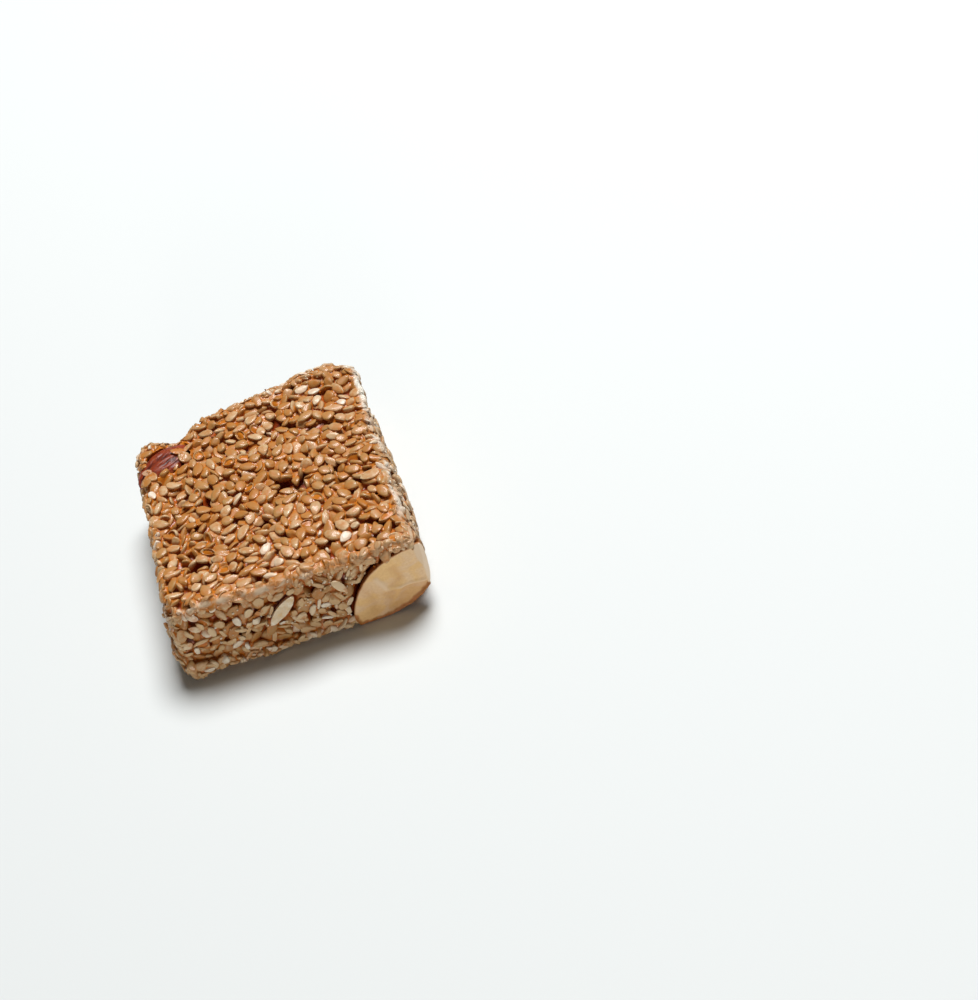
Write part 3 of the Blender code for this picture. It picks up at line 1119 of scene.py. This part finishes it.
def rim_away(points, normals):
    """How far each place of the split face is from the rim under it, in millimetres."""
    rim = (normals[:, 1] > -0.6) & (normals[:, 2] < 0.1) & (normals[:, 0] < 0.7)
    rim &= points[:, 1] < (NUT_FRONT + 0.5) * MM
    tree = kdtree.KDTree(int(rim.sum()))
    for number, point in enumerate(points[rim]):
        tree.insert(point, number)
    tree.balance()
    return np.array([tree.find(point)[2] for point in points]) / MM


@functools.cache
def nut_material():
    nodes = Nodes("nut_flesh", Specular_IOR_Level=0.4)
    colours = nodes.colours
    broad = nodes.ranged(nodes.grain(4 * MM, 3, 0.5, 0.6), 0.42, 0.58)
    fine = nodes.ranged(nodes.grain(0.5 * MM, 5, 0.65), 0.3, 0.7)
    colour = nodes.mixed(nodes.sums("MULTIPLY", broad, 0.6), colours.nut, colours.fresh_nut)
    colour = nodes.mixed(nodes.sums("MULTIPLY", fine, 0.22), colour, colours.nut_skin, "MULTIPLY")
    # Painted light: the relief lightens the ridges towards the fresh nut colour as a painted highlight and
    # darkens the hollows towards the skin colour as painted shade
    fold = nodes.value("fold")
    colour = nodes.mixed(nodes.ranged(fold, -0.15, -0.45, 0, 0.3), colour, colours.nut_skin)
    colour = nodes.mixed(nodes.ranged(fold, -0.1, 0.15, 0, 0.8), colour, colours.fresh_nut)
    colour = nodes.mixed(nodes.value("fresh"), colour, colours.fresh_nut)
    blotches = nodes.ranged(nodes.grain(1.3 * MM, 4, 0.6), 0.42, 0.6)
    skin = nodes.mixed(blotches, colours.nut_skin, colours.dark_seed)
    colour = nodes.mixed(nodes.value("skin"), colour, skin)
    nodes.bump(nodes.grain(0.45 * MM, 4, 0.6), 0.35, 0.08 * MM)
    return nodes.finish(colour, 0.5)


class BRITTLE_OT_nut_sliver(bpy.types.Operator):
    """Makes the sliver of nut in the front"""

    bl_idname = "brittle.nut_sliver"
    bl_label = "Nut sliver"

    def execute(self, context):
        mesh = nut_mesh("nut_sliver", 0.1 * MM)
        points = points_of(mesh)
        push(mesh, (0.09 * uneven(points, 1.2 * MM) + 0.04 * uneven(points, 0.4 * MM)) * MM)
        piece = placed("nut_sliver_cut", mesh, sliver_material())
        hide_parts("nut_sliver")
        return {"FINISHED"}


@functools.cache
def sliver_material():
    nodes = Nodes("sliver_flesh", Specular_IOR_Level=0.4)
    colours = nodes.colours
    broad = nodes.ranged(nodes.grain(1.5 * MM, 4, 0.6), 0.3, 0.7)
    fine = nodes.ranged(nodes.grain(0.4 * MM, 4, 0.6), 0.45, 0.75, 0, 0.4)
    colour = nodes.mixed(broad, colours.pale_seed, colours.cut_seed)
    colour = nodes.mixed(fine, colour, colours.nut)
    nodes.bump(nodes.grain(0.35 * MM, 4, 0.6), 0.3, 0.08 * MM)
    return nodes.finish(colour, 0.5)


class BRITTLE_OT_red_nut(bpy.types.Operator):
    """Makes the red-skinned nut in the back left corner"""

    bl_idname = "brittle.red_nut"
    bl_label = "Red nut"

    def execute(self, context):
        mesh = nut_mesh("red_nut", 0.16 * MM)
        points = points_of(mesh)
        wrinkle = uneven(points, 1.1 * MM, (0.28, 1, 1), RED_NUT_TURN, 3)
        fold = uneven(points, 2.6 * MM, (0.35, 1, 1), RED_NUT_TURN)
        relief = 0.20 * wrinkle + 0.30 * fold - 0.12
        push(mesh, relief.clip(-0.7, 0.15) * MM)
        # How far in each place lies in a fold, from which the material paints shade into the folds
        paint(mesh, fold=0.5 - 1.1 * wrinkle - 0.5 * fold)
        piece = placed("red_nut_skinned", mesh, red_skin_material())
        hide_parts("red_nut")
        return {"FINISHED"}


@functools.cache
def red_skin_material():
    nodes = Nodes("red_nut_skin", Specular_IOR_Level=0.25, Coat_Weight=0.05, Coat_Roughness=0.2)
    colours = nodes.colours
    veins = nodes.ranged(nodes.grain(0.8 * MM, 4, 0.6, 0.8), 0.4, 0.65, 0, 0.6)
    colour = nodes.mixed(veins, colours.red_skin, colours.dark_red_skin_and_fold_shade)
    # Painted shade: the skin is darkened in its folds
    colour = nodes.mixed(nodes.ranged(nodes.value("fold"), 0.45, 1.0), colour, colours.dark_red_skin_and_fold_shade)
    pale = nodes.ranged(nodes.grain(1.7 * MM, 3, 0.6), 0.58, 0.75, 0, 0.35)
    colour = nodes.mixed(pale, colour, colours.nut_skin)
    nodes.bump(nodes.grain(0.35 * MM, 4, 0.6), 0.4, 0.1 * MM)
    return nodes.finish(colour, 0.4)


# ---------------------------------------------------------------- stage

FLOOR_HALF = 3.0
FLOOR_COLOUR = (0.715, 0.745, 0.745)
# Lights: where they stand and how wide they are in metres, their power in watts and their colour
LIGHTS = (
    ("sky_light", (0.355, 0.525, 1.315), 0.72, 29.2, (1, 1, 1)),
    ("fill_light", (-0.20, -1.50, 0.17), 0.32, 5.8, (1, 0.90, 0.78)),
)
WORLD_COLOUR = (1.0, 0.93, 0.84, 1)
WORLD_LIGHT = 0.07
SENSOR_WIDTH = 36  # in millimetres
VIEW_RANGE = (0.01, 10)


class BRITTLE_OT_stage(bpy.types.Operator):
    """Sets up the pale floor, the soft light and the camera"""

    bl_idname = "brittle.stage"
    bl_label = "Stage"

    def execute(self, context):
        settings = context.scene.brittle_stage
        scene = context.scene
        bm = bmesh.new()
        bmesh.ops.create_grid(bm, x_segments=1, y_segments=1, size=FLOOR_HALF)
        mesh = bpy.data.meshes.new("floor")
        bm.to_mesh(mesh)
        bm.free()
        floor = shown("floor", mesh)
        nodes = Nodes("floor", Specular_IOR_Level=0.2)
        mesh.materials.append(nodes.finish(FLOOR_COLOUR, 0.6))

        camera = shown("camera", bpy.data.cameras.new("camera"))
        camera.data.lens = settings.lens
        camera.data.sensor_width = SENSOR_WIDTH
        camera.data.clip_start, camera.data.clip_end = VIEW_RANGE
        place, target = Vector(settings.place), Vector(settings.target)
        look = (target - place).to_track_quat("-Z", "Y").to_matrix()
        turn = look @ Matrix.Rotation(settings.roll, 3, "Z")
        camera.matrix_world = Matrix.Translation(place) @ turn.to_4x4()
        scene.camera = camera

        for name, place, size, watts, colour in LIGHTS:
            light = shown(name, bpy.data.lights.new(name, "AREA"))
            light.data.energy = watts
            light.data.color = colour
            light.data.shape = "DISK"
            light.data.size = size
            light.location = place
            light.rotation_euler = (-Vector(place)).to_track_quat("-Z", "Y").to_euler()

        world = bpy.data.worlds.new("studio")
        world.use_nodes = True
        background = world.node_tree.nodes["Background"]
        background.inputs["Color"].default_value = WORLD_COLOUR
        background.inputs["Strength"].default_value = WORLD_LIGHT
        scene.world = world
        scene.view_settings.view_transform = "Standard"
        return {"FINISHED"}


class BRITTLE_PT_panel(bpy.types.Panel):
    bl_idname = "BRITTLE_PT_panel"
    bl_label = "Sesame brittle slab"
    bl_space_type = "VIEW_3D"
    bl_region_type = "UI"
    bl_category = "Brittle"

    def draw(self, context):
        for step in STEPS:
            self.layout.operator(step.bl_idname)


STEPS = (BRITTLE_OT_stage, BRITTLE_OT_caramel, BRITTLE_OT_seeds, BRITTLE_OT_crumbs, BRITTLE_OT_nut_half,
         BRITTLE_OT_nut_sliver, BRITTLE_OT_red_nut)
SETTINGS = {
    "brittle_seeds": SeedSettings,
    "brittle_colours": ColourSettings,
    "brittle_stage": StageSettings,
}


def register():
    for kind in (*SETTINGS.values(), *STEPS, BRITTLE_PT_panel):
        bpy.utils.register_class(kind)
    for name, kind in SETTINGS.items():
        setattr(bpy.types.Scene, name, PointerProperty(type=kind))


def unregister():
    for name in SETTINGS:
        delattr(bpy.types.Scene, name)
    for kind in (BRITTLE_PT_panel, *reversed(STEPS), *SETTINGS.values()):
        bpy.utils.unregister_class(kind)


def main():
    register()
    bpy.ops.brittle.stage()
    bpy.ops.brittle.caramel()
    bpy.ops.brittle.seeds()
    bpy.ops.brittle.crumbs()
    bpy.ops.brittle.nut_half()
    bpy.ops.brittle.nut_sliver()
    bpy.ops.brittle.red_nut()


if __name__ == "__main__":
    main()
